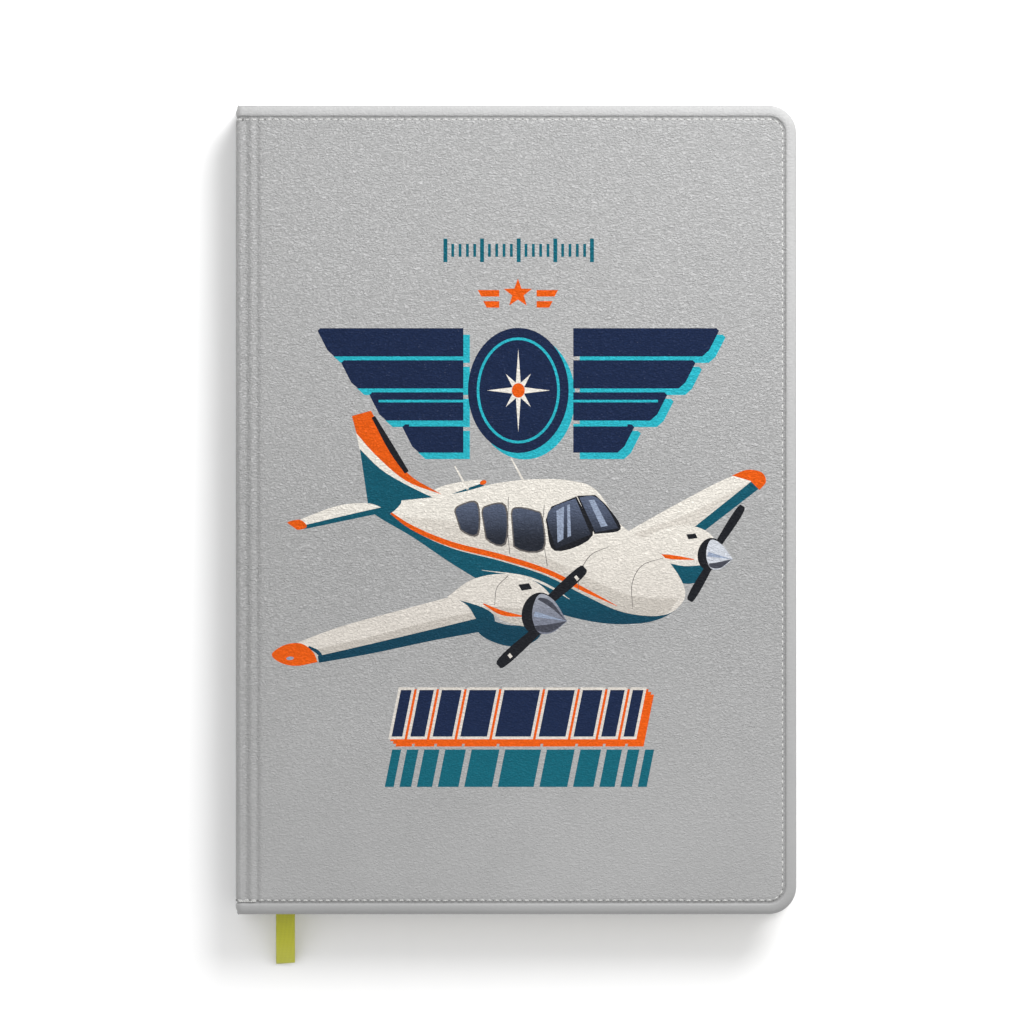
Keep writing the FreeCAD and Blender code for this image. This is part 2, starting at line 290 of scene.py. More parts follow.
def inset_of(n):
    """Distance in from the cover's rounded outline, up to its corner radius."""
    x, y, _ = n.split(n.rest())
    past_x = n.math("SUBTRACT", x, FORE_X - CORNER_RADIUS)
    past_y = n.math("SUBTRACT", n.math("ABSOLUTE", y), HEAD_Y - CORNER_RADIUS)
    squares = [n.math("POWER", n.math("MAXIMUM", v, 0.0), 2.0) for v in (past_x, past_y)]
    return n.math("SUBTRACT", CORNER_RADIUS, n.math("SQRT", n.math("ADD", *squares)))


def grain(n, inset):
    """Grain of the faux leather, pebbles between wavy creases: (its height, how open it is).
    It is shallower towards the cover's tail, and pressed smooth on the rim."""
    warp = n.noise(n.rest((0.5, 0.5, 0.5)), 2.0)
    push = n.add("ShaderNodeVectorMath", {0: warp, "Scale": 2.2}, operation="SCALE")
    shifted = n.add("ShaderNodeVectorMath", {0: n.rest((1.4, 2.0, 1.9), 0.06),
                                             1: push.outputs[0]}, operation="ADD")
    cells = n.voronoi(shifted.outputs[0], 0.4)
    pebbles = n.ramp(cells, 0.08, 0.72, 1.0, 0.0)
    waves = n.noise(n.rest((1.1, 2.2, 2.1), -0.04), 3.0, 0.6, 1.3)
    folds = n.ramp(waves, 0.36, 0.62)
    fine = n.noise(n.rest((3.4, 4.2, 4.2)), 2.0, 0.6)
    height = n.math("MULTIPLY_ADD", pebbles, 0.6, n.math("MULTIPLY", folds, 0.55))
    height = n.math("MULTIPLY_ADD", fine, 0.4, height)
    worn = n.ramp(n.split(n.rest())[1], -100.0, 10.0, TAIL_GRAIN, 1.0)
    pressed = n.ramp(inset, 2.5, 3.3, RIM_GRAIN, 1.0)
    middle = n.math("SUBTRACT", height, GRAIN_MIDDLE)
    kept = n.math("MULTIPLY", worn, pressed)
    return n.math("MULTIPLY_ADD", middle, kept, GRAIN_MIDDLE), pressed


GRAIN_MIDDLE = 0.6  # height of the grain where it is worn or pressed away
GRAIN_DEPTH = 0.3
RIM_GRAIN = 0.3  # the share of the grain that is left on the rim
TAIL_GRAIN = 0.35  # and at the tail, where the cover is rubbed
INK_FILL = 0.75  # and through ink
GROOVE_INSET = 3.05  # bottom of the groove inside the rim
LEATHER_GREY = srgb(165, 165, 165)


def leather_material(name, color):
    """Grey pebbled faux leather."""
    n = Nodes(name)
    inset = inset_of(n)
    height, pressed = grain(n, inset)
    cloudy = n.noise(n.rest((0.03, 0.03, 0.03)), 2.0)
    # Painted light: the leather's colour gets lighter towards the head, the side the key lamp
    # lights most.
    painted_light_to_head = n.ramp(n.split(n.rest())[1], -95.0, 70.0)
    low = n.mix(painted_light_to_head, times(color, 0.77), times(color, 0.96))
    high = n.mix(painted_light_to_head, times(color, 0.865), times(color, 1.1))
    light = times(color, 1.05)
    tone = n.mix(n.ramp(height, 0.25, 0.95), low, high)
    tone = n.mix(n.ramp(cloudy, 0.35, 0.7, 0.0, 0.25), tone, light)
    # Painted shade: the leather is darkened in the groove inside the rim and along the outer edge,
    # where it turns down. The band of the rim outside the groove is a little darker too.
    from_groove = n.math("ABSOLUTE", n.math("SUBTRACT", inset, GROOVE_INSET))
    groove = n.ramp(from_groove, 0.1, 0.6, 0.45, 0.0)
    rim = n.math("MAXIMUM", n.ramp(inset, 0.05, 0.5, 0.5, 0.0), n.ramp(inset, 2.4, 2.8, 0.14, 0.0))
    painted_shade_and_darker_rim = n.math("MAXIMUM", groove, rim)
    tone = n.mix(painted_shade_and_darker_rim, tone, times(color, 0.6))
    rough = n.math("MULTIPLY", n.ramp(height, 0.2, 1.2, 0.62, 0.46),
                   n.ramp(pressed, RIM_GRAIN, 1.0, 0.8, 1.0))
    return n.finish(tone, rough, n.bump(height, GRAIN_DEPTH), specular=0.42)


def ink_material(name, color, second=None, across=(0.0, 1.0)):
    """Ink printed on the leather, worn a little thin on the grain. second: a second tone that it
    fades to between two heights on the cover, in mm."""
    n = Nodes(name)
    height, _ = grain(n, inset_of(n))
    tone = color
    if second is not None:
        tone = n.mix(n.ramp(n.split(n.rest())[1], *across), color, second)
    deep = n.mix(0.14, tone, (0, 0, 0, 1)) if second is not None else [c * 0.84 for c in color]
    body = n.mix(n.ramp(height, 0.3, 0.95), deep, tone)
    specks = n.noise(n.rest((2.6, 3.4, 3.0)), 3.0, 0.7)
    thin = n.ramp(n.math("MULTIPLY_ADD", height, 0.35, specks), 0.97, 1.12, 0.0, 0.14)
    body = n.mix(thin, body, LEATHER_GREY)
    rough = n.ramp(height, 0.2, 1.2, 0.62, 0.42)
    return n.finish(body, rough, n.bump(height, GRAIN_DEPTH * INK_FILL), specular=0.12)


# ---- the cover's print (mm from its middle)
def rounded(points, corners=(), steps=5):
    """A closed outline through the points. Those numbered in corners stay sharp."""
    count = len(points)
    if len(corners) == count:
        return [tuple(p) for p in points]
    if not corners:
        wrapped = [points[-1]] + list(points) + [points[0], points[1]]
        curve = spline(wrapped, steps)
        return [tuple(p) for p in curve[steps:-2 * steps]][:count * steps]
    out = []
    turns = sorted(corners)
    for a, b in zip(turns, turns[1:] + [turns[0] + count]):
        run = [points[i % count] for i in range(a, b + 1)]
        out += [tuple(p) for p in (spline(run, steps) if len(run) > 2 else np.array(run))[:-1]]
    return out


def stripe(points, widths, steps=5):
    """A stripe along a curve, with half its width at each point. Zero ends make sharp tips."""
    line = spline([list(p) + [w] for p, w in zip(points, widths)], steps)
    xy, w = line[:, :2], line[:, 2:]
    slope = np.gradient(xy, axis=0)
    slope /= np.linalg.norm(slope, axis=1)[:, None]
    side = np.stack([-slope[:, 1], slope[:, 0]], 1)
    left, right = xy + side * w, xy - side * w
    return [tuple(p) for p in left] + [tuple(p) for p in right[::-1]]


def disc(x, y, rx, ry, turn=0.0, steps=40):
    """An ellipse."""
    out = []
    for i in range(steps):
        a = 2 * math.pi * i / steps
        u, v = rx * math.cos(a), ry * math.sin(a)
        out.append((x + u * math.cos(turn) - v * math.sin(turn),
                    y + u * math.sin(turn) + v * math.cos(turn)))
    return out


def slanted(x, y, width, height, lean=0.0):
    """A slanted bar from its lower left corner."""
    shift = lean * height
    return [(x, y), (x + width, y), (x + width + shift, y + height), (x + shift, y + height)]


def counter_clockwise(points):
    """The outline, turned round if it runs clockwise."""
    p = np.array(points, float)
    area = np.sum(p[:, 0] * np.roll(p[:, 1], -1) - np.roll(p[:, 0], -1) * p[:, 1])
    return list(points) if area > 0 else list(points)[::-1]


def moved(points, dx, dy):
    return [(x + dx, y + dy) for x, y in points]


def grown(points, by):
    """A convex outline pushed outwards."""
    p = np.array(counter_clockwise(points), float)
    before, after = p - np.roll(p, 1, 0), np.roll(p, -1, 0) - p
    before /= np.linalg.norm(before, axis=1)[:, None]
    after /= np.linalg.norm(after, axis=1)[:, None]
    n1 = np.stack([before[:, 1], -before[:, 0]], 1)
    n2 = np.stack([after[:, 1], -after[:, 0]], 1)
    out = p + by * (n1 + n2) / (1 + np.sum(n1 * n2, 1))[:, None]
    return [tuple(q) for q in out]


def blade(x, y, angle, length, width):
    """A propeller blade from its root outwards, in degrees."""
    a = math.radians(angle)
    along, side = np.array([math.cos(a), math.sin(a)]), np.array([-math.sin(a), math.cos(a)])
    outline = [(0.0, 0.3), (0.25, 0.45), (0.7, 0.52), (0.97, 0.42), (1.0, 0.1), (0.97, -0.36),
               (0.7, -0.5), (0.25, -0.42), (0.0, -0.3)]
    pts = [np.array([x, y]) + along * (u * length) + side * (v * width) for u, v in outline]
    return rounded([tuple(p) for p in pts], steps=3)


def heading_scale():
    """A row of teal ticks, long and short by turns."""
    shapes = []
    middle, count, pitch = (0.7, 68), 21, 1.92
    for i in range(count):
        x = middle[0] + (i - (count - 1) / 2) * pitch
        wide, tall = (1.05, 6.2) if i % 5 == 0 else (0.75, 3.4)
        shapes.append(("bright_teal", slanted(x - wide / 2, middle[1] - tall / 2, wide, tall)))
    return shapes


def pointed(middle, radii, count, squeeze=(1, 1)):
    """A star whose corners take the radii in turn."""
    out = []
    for i in range(count):
        a = math.pi / 2 + i * 2 * math.pi / count
        r = radii[i % len(radii)]
        out.append((middle[0] + r * math.cos(a) * squeeze[0],
                    middle[1] + r * math.sin(a) * squeeze[1]))
    return out


def star_badge():
    """An orange star between two pairs of bars."""
    middle, thick = (0.5, 56.7), 1.7
    shapes = [("orange", pointed(middle, (3.9, 1.6), 10))]
    for side in (-1, 1):
        for y, length in ((57.6, 5.6), (54.7, 4.2)):
            x = middle[0] + side * 4.9
            shapes.append(("orange", [(x, y), (x + side * length, y),
                                      (x + side * (length - 0.9), y - thick), (x, y - thick)]))
    return shapes


def wing_emblem():
    """A pair of block wings round a roundel, with an offset shadow and two pinstripes."""
    middle = (0.6, 31.3)
    blocks = []
    height, lean, inner = 7.4, 2.6, 14.4
    for top, span in zip((47.6, 39.2, 30.8, 22.4), (52.6, 46.4, 39, 30.4)):
        for side in (-1, 1):
            x0, x1 = middle[0] + side * inner, middle[0] + side * span
            blocks.append([(x0, top), (x1 - side * 0.7, top), (x1, top - 0.7),
                           (x1 - side * lean, top - height + 1.6),
                           (x1 - side * (lean + 1.8), top - height), (x0, top - height)])
    round_block = disc(middle[0], middle[1], 13.2, 16.4, steps=56)
    shadow = (1.7, -1.7)
    shapes = [("cyan", moved(b, *shadow)) for b in blocks + [round_block]]
    shapes += [("navy", b) for b in blocks + [round_block]]
    for y, reach in ((28.5, 36.6), (22.2, 28.6)):
        for side in (-1, 1):
            left = middle[0] + min(side * inner, side * reach)
            shapes.append(("cyan", slanted(left, y - 0.33, reach - inner, 0.66)))
    shapes.append(("cyan", disc(middle[0], middle[1], 10.9, 13.9, steps=48)))
    shapes.append(("navy", disc(middle[0], middle[1], 10.2, 13.2, steps=48)))
    shapes.append(("cream", pointed(middle, (9.6, 1.9, 5.4, 1.9), 16, (0.86, 1.14))))
    shapes.append(("orange", disc(middle[0], middle[1], 1.7, 1.9, steps=24)))
    return shapes


def bar_row(left, right, low, height, lean, widths, gap):
    """Slanted bars that fill a row from its left to its right end."""
    share = (right - left - lean * height - gap * (len(widths) - 1)) / sum(widths)
    bars = []
    for width in widths:
        bars.append(slanted(left, low, width * share, height, lean))
        left += width * share + gap
    return bars


def speed_bars():
    """Two rows of slanted bars: navy with outline and shadow, and plain teal."""
    row = bar_row(-32.6, 33.4, -59.4, 12.2, 0.2, (3, 4, 5.5, 7.5, 10, 7.5, 5.5, 4, 3), 2.1)
    shapes = []
    for shift in (1.9, 1.2, 0.5):
        shapes += [("orange", grown(moved(b, shift, -shift), 0.7)) for b in row]
    shapes += [("cream", grown(b, 0.7)) for b in row]
    shapes += [("navy", b) for b in row]
    low_row = bar_row(-34.4, 36.2, -72.6, 9.8, 0.2,
                      (2, 2.6, 3.4, 4.6, 6.2, 8, 6.2, 4.6, 3.4, 2.6, 2), 1.5)
    return shapes + [("bright_teal", b) for b in low_row]


# The aircraft's parts behind the body: wing, engine and tailplane on the far side.
FAR_SIDE = [
    ("cream", rounded([(26, -7.5), (42.6, 1.8), (56, 8.6), (61.6, 9.2), (63.4, 6), (49.6, -4.6),
        (42, -10)], (0, 3, 4, 6))),
    ("cream_shade", rounded([(30, -6.6), (46, -0.6), (61.8, 7.6), (62.8, 6.4), (49.6, -4.2),
        (42, -9)], (0, 2, 3, 5))),
    ("teal", [(61.6, 7.4), (63.7, 5.6), (48.2, -6.4), (46.6, -4.6)]),
    ("orange", rounded([(56.6, 9), (60.6, 10.5), (64.4, 9.8), (65.5, 7.4), (63.8, 5.2),
        (61.4, 7.6)], (0, 4, 5))),
    ("cream", rounded([(-24, 4), (-18.4, 6.5), (-10, 7.9), (-8.4, 7), (-17.4, 3)], (0, 4))),
    ("teal", stripe([(-16.8, 3.6), (-8.6, 6.7)], [0.55, 0.4])),
    ("orange", disc(-8.6, 7.2, 0.9, 0.6, 0.35, 12)),
    ("cream", rounded([(32, -9.4), (37.6, -5.4), (44, -4), (49.6, -5.4), (52.6, -9), (52.2, -14.4),
        (47.6, -15.8), (39, -14.4)])),
    ("teal", rounded([(37.6, -13.3), (44, -14.7), (50.8, -14.3), (49.4, -18), (44.8, -19.4),
        (40.2, -17.6)], (0, 2))),
    ("orange", stripe([(35.8, -11.7), (41, -12.4), (46.6, -13)], [0.2, 0.55, 0.1])),
    ("black", rounded([(44.6, -6.4), (47, -6.2), (47.6, -7.4), (45.2, -7.7)], range(4))),
    ("black", blade(52.6, -9.6, 57, 12.6, 2.3)),
    ("black", blade(51.4, -13.4, 240, 12, 2.3)),
    ("black", disc(50.9, -11.6, 3.3, 4.3, -0.2, 28)),
    ("silver", rounded([(51, -7.9), (53.8, -9), (56.8, -12.9), (53.6, -15.4), (51, -15.3),
        (49.8, -11.6)], (2,))),
    ("shade", rounded([(56.6, -12.9), (53, -13.7), (50.4, -14.1), (51.1, -15.1), (53.6, -15.2)],
        (0, 2))),
    ("glint", [(56.5, -12.9), (50.4, -11), (50.1, -12.2)]),
]


BODY_TOP = [(-38.8, 2.2), (-30, 3), (-16, 4.3), (-6, 6.8), (4, 8), (14, 7.7), (21, 5.2),
            (27.4, -3.8), (34, -8.3), (40.4, -14), (44.2, -20.6), (43.2, -24.8)]
BODY_LINE = [(38.4, -27.6), (28, -26.8), (18, -22.4), (8, -17.3), (-4, -13.4), (-17, -10),
             (-27, -5.3), (-33.6, -0.6)]
BODY_LOW = [(38.6, -28.2), (32, -29.8), (22, -29.6), (10, -26.8), (-4, -21.4), (-16, -14.6),
            (-27, -7.2), (-37, -1.2)]


def body():
    """The aircraft's body, with cabin windows, a plain windscreen and its stripes."""
    shapes = [
        ("teal", rounded(BODY_TOP + BODY_LOW, (0,))),
        ("cream", rounded(BODY_TOP + BODY_LINE, (0,))),
        ("cream_shade", rounded([(-30, -1.6), (-14, -3.6), (2, -9.6), (18, -17.4), (30, -22.4),
            (42.6, -23.2)] + BODY_LINE[:-1], (0, 5))),
        ("orange", stripe([(-35, 0.9), (-27.5, -4.5), (-17, -9), (-4, -12.3), (8, -16.1),
            (18, -21), (26.5, -25.2)], [0.1, 0.55, 0.72, 0.72, 0.66, 0.5, 0.05])),
        ("cream", stripe([(-9, -15.8), (2, -17.4), (9, -20.2), (14, -23.4)],
            [0.05, 0.25, 0.3, 0.05])),
        ("line", stripe([(24.4, -9.6), (19.4, -12), (16.6, -17), (16.4, -21)],
            [0.05, 0.09, 0.09, 0.05])),
        ("line", stripe([(38.6, -12.6), (33, -14.6), (30.4, -19.4), (30.6, -26)],
            [0.05, 0.09, 0.09, 0.05])),
        ("line", stripe([(7.4, 1.4), (7, -6), (8.2, -14.8)], [0.08, 0.08, 0.08])),
        ("line", stripe([(-2, 3.4), (-2.1, -6), (-1.6, -11.6)], [0.08, 0.08, 0.08])),
        ("cream", [(2.3, 7.6), (1.6, 7.6), (-1.5, 13.6), (-1.2, 13.8)]),
        ("cream", [(-12.3, 5.4), (-13, 5.3), (-16.2, 11.4), (-15.9, 11.6)]),
    ]
    windows = [
        [(-15.8, -0.6), (-14.4, 1.1), (-10.3, 1.5), (-10.2, -6.2), (-14.4, -5)],
        [(-8.7, -0.9), (-7.4, 0.9), (-2.9, 0.8), (-3, -8.6), (-7.7, -7.3)],
        [(-1, -1.2), (0.4, 0.4), (4.9, -0.4), (6.6, -2), (6.9, -10.2), (-0.4, -9.4)],
    ]
    for w in windows:
        shapes.append(("line", rounded(grown(w, 0.35), steps=4)))
        shapes.append(("glass", rounded(w, steps=4)))
    panes = [
        ([(8.2, -2.6), (9.6, 0.6), (15.6, 3), (19.6, -6.4), (10.4, -10.2)], (2, 3, 4)),
        ([(16.6, 3.3), (20.6, 3.5), (24, 0.2), (26.8, -4.8), (20.8, -5.9)], (0, 3, 4)),
    ]
    for pane, corners in panes:
        shapes.append(("black", rounded(grown(pane, 0.4), corners)))
        shapes.append(("glass", rounded(pane, corners)))
    shapes += [
        ("glint", [(10.6, -0.2), (12.6, 0.9), (12.4, -7.6), (10.9, -8.6)]),
        ("glint", [(13.4, 1.2), (14.1, 1.5), (14.4, -6.8), (13.5, -7.2)]),
        ("glint", [(19, 2.6), (20.5, 2.7), (24, -4.2), (22.3, -4.5)]),
    ]
    return shapes

# The aircraft's fin and its near tailplane.
TAIL = [
    ("teal", rounded([(-41, 16.6), (-38.8, 1.6), (-20.6, 3.4), (-30.6, 9.4)], (0, 1, 2))),
    ("cream", rounded([(-42, 20.4), (-41, 16), (-34, 9.6), (-21.6, 3.2), (-19, 3.8),
        (-30.5, 10.4)], (0, 1, 4))),
    ("orange", rounded([(-43, 24.6), (-38, 26), (-33.6, 18), (-28.4, 9.6), (-19.4, 4),
        (-28.8, 7.6), (-36.6, 14.2), (-41.8, 20)], (0, 1, 4, 7))),
    ("black", stripe([(-37.4, 24.4), (-32.6, 16), (-28.6, 9.8)], [0.5, 0.85, 0.6])),
    ("teal", rounded([(-38.4, 1.6), (-36.6, 3), (-30, 2.4), (-34, -1.4)])),
    ("cream", rounded([(-58.8, -3.4), (-47, 1), (-38.6, 1.7), (-34, 0), (-45, -2.6),
        (-55.6, -4.8)], (0, 3, 5))),
    ("teal", stripe([(-55.8, -4.6), (-45, -2.2), (-34, 0.2)], [0.5, 0.65, 0.75])),
    ("orange", rounded([(-60, -3.4), (-56.6, -2.6), (-54.8, -4.4), (-57.4, -5.2)])),
]

# The aircraft's near wing and engine.
NEAR_SIDE = [
    ("cream", rounded([(-58.4, -35.2), (-46, -30.6), (-30, -26.2), (-15, -22.2), (-7, -24),
        (-6.8, -30.4), (-20, -32.6), (-38, -36.9), (-52, -39.6)], (0, 3, 5, 8))),
    ("cream_shade", rounded([(-56, -37.4), (-38, -33.2), (-20, -28.6), (-8, -26.4), (-6.8, -30.4),
        (-20, -32.6), (-38, -36.9), (-52, -39.6)], (0, 3, 4, 7))),
    ("teal", stripe([(-51.8, -39.2), (-38, -36.4), (-22, -32.8), (-7, -29.6)],
        [0.9, 1.25, 1.45, 1.9])),
    ("teal", stripe([(-54.4, -35.9), (-51.8, -37.4), (-50.6, -39.6)], [0.3, 0.5, 0.4])),
    ("orange", rounded([(-64, -37.8), (-60.6, -35.4), (-56.4, -35), (-53.2, -37.2), (-52, -39.9),
        (-57.6, -40.9), (-61.8, -40)], (4,))),
    ("glint", disc(-59.2, -38.9, 1, 0.45, 0.1, 12)),
    ("teal", rounded([(-16.4, -22.9), (-9, -21.6), (-6.2, -26.4), (-5.6, -31.2), (-9.6, -29.6),
        (-12.6, -25.2)], (0,))),
    ("teal", rounded([(-10.6, -27), (-3, -30), (5.4, -30.6), (6.2, -33.2), (2.2, -35.6),
        (-3.6, -35.4), (-9.6, -32.4)], (0,))),
    ("cream", rounded([(-18, -22.8), (-11.8, -18.4), (-4.2, -16.8), (3.8, -18.2), (9, -22.4),
        (9, -27.6), (4.4, -30.6), (-3, -29.2), (-8.6, -25.6)], (0,))),
    ("cream_shade", rounded([(-8.6, -25.2), (-2, -25.6), (6, -26.4), (8.6, -27.9), (4.4, -30.5),
        (-3, -29.2)], (0, 3))),
    ("orange", stripe([(-8.6, -24.6), (-3.6, -27), (2.6, -28)], [0.15, 0.6, 0.1])),
    ("line", stripe([(-2, -17.2), (-5, -20.4), (-5.6, -25)], [0.08, 0.08, 0.08])),
    ("black", [(0.6, -19.6), (3.4, -19.2), (4.2, -20.7), (1.5, -21.2)]),
    ("black", blade(8, -24.4, 42, 13.6, 3)),
    ("cream", [(15.2, -17.6), (16, -18.6), (16.6, -18.1), (15.8, -17.1)]),
    ("black", blade(6.6, -30.6, 222, 15.2, 3)),
    ("cream", [(-2.2, -38.1), (-1.5, -39), (-0.9, -38.4), (-1.6, -37.5)]),
    ("black", disc(6, -27.2, 4.5, 5.6, -0.2, 32)),
    ("silver", rounded([(6, -22.2), (9.8, -23.6), (13.4, -29.2), (9.4, -32.2), (5.8, -32),
        (4.2, -27.2)], (2,))),
    ("shade", rounded([(13.2, -29.2), (8.4, -30), (4.9, -30.4), (5.9, -31.8), (9.4, -31.9)],
        (0, 2))),
    ("shade", rounded([(13, -29), (9.4, -25.8), (5.6, -23.4), (6.6, -23), (9.4, -24.2)], (0, 2))),
    ("glint", [(13, -29.1), (5, -26.6), (4.6, -28)]),
]


def cover_print():
    """All of the print: (ink, outline), the upper ones last."""
    shapes = heading_scale() + star_badge() + wing_emblem() + speed_bars()
    return shapes + FAR_SIDE + body() + TAIL + NEAR_SIDE


INKS = {
    "navy": (srgb(18, 34, 66), None),
    "cyan": (srgb(36, 168, 184), None),
    "teal": (srgb(6, 80, 98), srgb(6, 58, 78), (-10.0, -34.0)),
    "bright_teal": (srgb(6, 92, 108), None),
    "orange": (srgb(218, 86, 6), None),
    "cream": (srgb(222, 217, 208), srgb(206, 200, 192), (2.0, -30.0)),
    "cream_shade": (srgb(208, 202, 193), srgb(184, 178, 170), (2.0, -32.0)),
    "line": (srgb(96, 92, 90), None),
    "black": (srgb(22, 24, 30), None),
    "silver": (srgb(196, 200, 208), srgb(112, 116, 130), (-10.0, -31.0)),
    "glass": (srgb(32, 36, 46), srgb(84, 94, 116), (-9.0, 4.0)),
    "glint": (srgb(142, 154, 176), None),
    "shade": (srgb(66, 68, 78), None),
}


# ---- the case's skin
def outline_point(inset, part, t, start=FIELD_X):
    """A point of the cover's outline drawn in by inset, and its direction. part is 0 head,
    1 corner, 2 fore-edge, 3 corner, 4 tail; t runs from 0 to 1 along it."""
    radius = max(CORNER_RADIUS - inset, SHARPEST)
    right, top = FORE_X - inset, HEAD_Y - inset
    cx, cy = right - radius, top - radius
    if part == 0:
        return start + (cx - start) * t, top, 1, 0
    if part == 2:
        return right, cy - 2 * cy * t, 0, -1
    if part == 4:
        return cx + (start - cx) * t, -top, -1, 0
    a = math.pi / 2 * (1 - t if part == 1 else -t)
    cy = cy if part == 1 else -cy
    return cx + radius * math.cos(a), cy + radius * math.sin(a), math.sin(a), -math.cos(a)


RIM_STATIONS = [(part, k / n) for part, n in enumerate((16, 12, 20, 12, 16)) for k in range(n)]
RIM_STATIONS.append((4, 1.0))


def smoothstep(low, high, value):
    t = np.clip((value - low) / (high - low), 0, 1)
    return t * t * (3 - 2 * t)


def case_profile():
    """Outer line of the case from mid-spine to the field: x, z, z at the caps, wall."""
    points = [(SPINE_X, TOP / 2, TOP / 2, SPINE_WALL)]
    for out, deep, cap in SHOULDER:
        wall = (SPINE_WALL if out < SPINE_WALL_TO else
                HINGE_WALL if out < HINGE_WALL_TO else SKIN_DEEP)
        points.append((SPINE_X + out, TOP - deep, TOP - cap, wall))
    return spline(points, SHOULDER_STEPS)


def rim_offsets(wall):
    """The rim's profile for a wall of that thickness."""
    top = SQUEEZED_FROM
    return [(d, h if h < top else top + (h - top) * (wall - top) / (SKIN_DEEP - top))
            for d, h in RIM]


def strip_mesh():
    """The hinge strip and half the spine: rows across the book's height for each station."""
    verts, columns = [], []
    for x, z, cap, wall in case_profile():
        lean = math.pi / 2 * smoothstep(*LEAN_DEPTHS, TOP - cap)
        inward = math.cos(lean), -math.sin(lean)
        round_off = min(max(SPINE_CORNER - (x - SPINE_X), 0.0), SPINE_CORNER)
        drop = SPINE_CORNER - math.sqrt(SPINE_CORNER ** 2 - round_off ** 2)
        offsets = rim_offsets(wall)
        rows = [(1, d, h) for d, h in offsets[::-1]]
        span = HEAD_Y - FIELD_INSET
        rows += [(1 - 2 * k / STRIP_ROWS, FIELD_INSET, FIELD_DEPTH) for k in range(1, STRIP_ROWS)]
        rows += [(-1, d, h) for d, h in offsets]
        column = []
        for side, d, h in rows:
            fade = smoothstep(*CAP_FADE, d)
            height = cap + (z - cap) * fade
            reach = HEAD_Y - d - drop * CORNER_SHARE * (1 - smoothstep(*SPINE_ROUND, d))
            h -= FIELD_DEPTH
            column.append(len(verts))
            y = side * (reach if abs(side) == 1 else span)
            verts.append((x + inward[0] * h, y, height + inward[1] * h))
        columns.append(column)
    faces = []
    for a, b in zip(columns, columns[1:]):
        faces += [(a[k], b[k], b[k + 1], a[k + 1]) for k in range(len(a) - 1)]
    last = columns[-1][len(RIM) - 1:-(len(RIM) - 1)]
    return verts, faces, [verts[i] for i in last]


def rim_mesh(start):
    """The rim round three sides of the cover, numbered from start."""
    verts, faces, rings = [], [], []
    for part, t in RIM_STATIONS:
        ring = []
        for inset, deep in RIM:
            x, y, _, _ = outline_point(inset, part, t)
            ring.append(start + len(verts))
            verts.append((x, y, TOP - deep))
        rings.append(ring)
    for a, b in zip(rings, rings[1:]):
        faces += [(a[k], a[k + 1], b[k + 1], b[k]) for k in range(len(RIM) - 1)]
    return verts, faces, [verts[ring[0] - start] for ring in rings]


def field_mesh(left, edge, shapes):
    """The flat field, cut along the outlines of the print: (points, triangles, ink of each)."""
    rim = [(x, y) for x, y, _ in left[::-1]] + [(x, y) for x, y, _ in edge][1:-1]
    points = counter_clockwise(rim)
    faces = [list(range(len(rim)))]
    for _, outline in shapes:
        outline = counter_clockwise(outline)
        first = len(points)
        points += [(x + COVER_MIDDLE[0], y + COVER_MIDDLE[1]) for x, y in outline]
        faces.append(list(range(first, len(points))))
    out = delaunay_2d_cdt([Vector(p) for p in points], [], faces, 1, 1e-5, True)
    inks = [max(owners) - 1 if owners else -1 for owners in out[5]]
    return [(v.x, v.y, TOP - FIELD_DEPTH) for v in out[0]], [tuple(f) for f in out[2]], inks


def leather_half(name, shapes):
    """Skin of one cover, its hinge and half the spine, drawn as the front."""
    verts, faces, left = strip_mesh()
    more, rim_faces, edge = rim_mesh(len(verts))
    verts += more
    faces += rim_faces
    plain = len(faces)
    more, field, inks = field_mesh(left, edge, shapes)
    base = len(verts)
    verts += more
    faces += [tuple(base + i for i in f) for f in field]
    obj = new_object(name, verts, faces)
    names = list(INKS)
    for number, ink in enumerate(inks):
        if ink >= 0:
            slot = 1 + names.index(shapes[ink][0])
            obj.data.polygons[plain + number].material_index = slot
    return obj


def thicken(obj):
    """Gives the sheet of skin its thickness, inwards."""
    tidy_mesh(obj, 0.004)
    up = sum((p.normal.z * p.area for p in obj.data.polygons if abs(p.normal.z) > 0.99
              and p.center.z > TOP * MM * 0.9), 0.0)
    if up < 0:
        obj.data.flip_normals()
    solid = obj.modifiers.new("thickness", "SOLIDIFY")
    solid.thickness = LEATHER * MM
    solid.offset = -1
    solid.use_even_offset = False
    apply_modifiers(obj)
    obj.data.set_sharp_from_angle(angle=math.radians(SHARP_FROM))


def mirror_down(obj):
    """Turns a front piece into the back one: mirrored through the book's middle height."""
    for v in obj.data.vertices:
        v.co.z = TOP * MM - v.co.z
    obj.data.flip_normals()


def bend_with_case(obj, front):
    """Bakes the piece's place into its mesh, for the front and the back alike."""
    if front:
        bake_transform(obj)
        return
    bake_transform(obj)


def make_skins():
    """The leather: the front with its print, and the back."""
    leather = leather_material("grey_leather", LEATHER_GREY)
    inks = [leather] + [ink_material(f"{name}_ink", *facts) for name, facts in INKS.items()]
    for front in (True, False):
        side = "front" if front else "back"
        obj = leather_half(f"{side}_leather", cover_print() if front else [])
        thicken(obj)
        for material in (inks if front else [leather]):
            obj.data.materials.append(material)
        if not front:
            mirror_down(obj)
        keep_rest(obj)
        bend_with_case(obj, front)
        nodes = [f"{side}_cover_skin", f"{side}_hinge_skin"] + (["spine_skin"] if front else [])
        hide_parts(*nodes)


# ---- edge stitching
def surface_at(x, inset):
    """Height of the case's face at a place on the hinge or the cover."""
    x_line, z_line, cap_line = case_profile()[:, :3].T
    upper = z_line > TOP - CASE_FACE
    cap = np.interp(x, x_line[upper], cap_line[upper])
    open_height = np.interp(x, x_line[upper], z_line[upper])
    rim = np.array(RIM[:RIM_FACE])[::-1]
    sunk = np.interp(inset, rim[:, 0], rim[:, 1]) - FIELD_DEPTH
    return cap + (open_height - cap) * smoothstep(*CAP_FADE, inset) - sunk


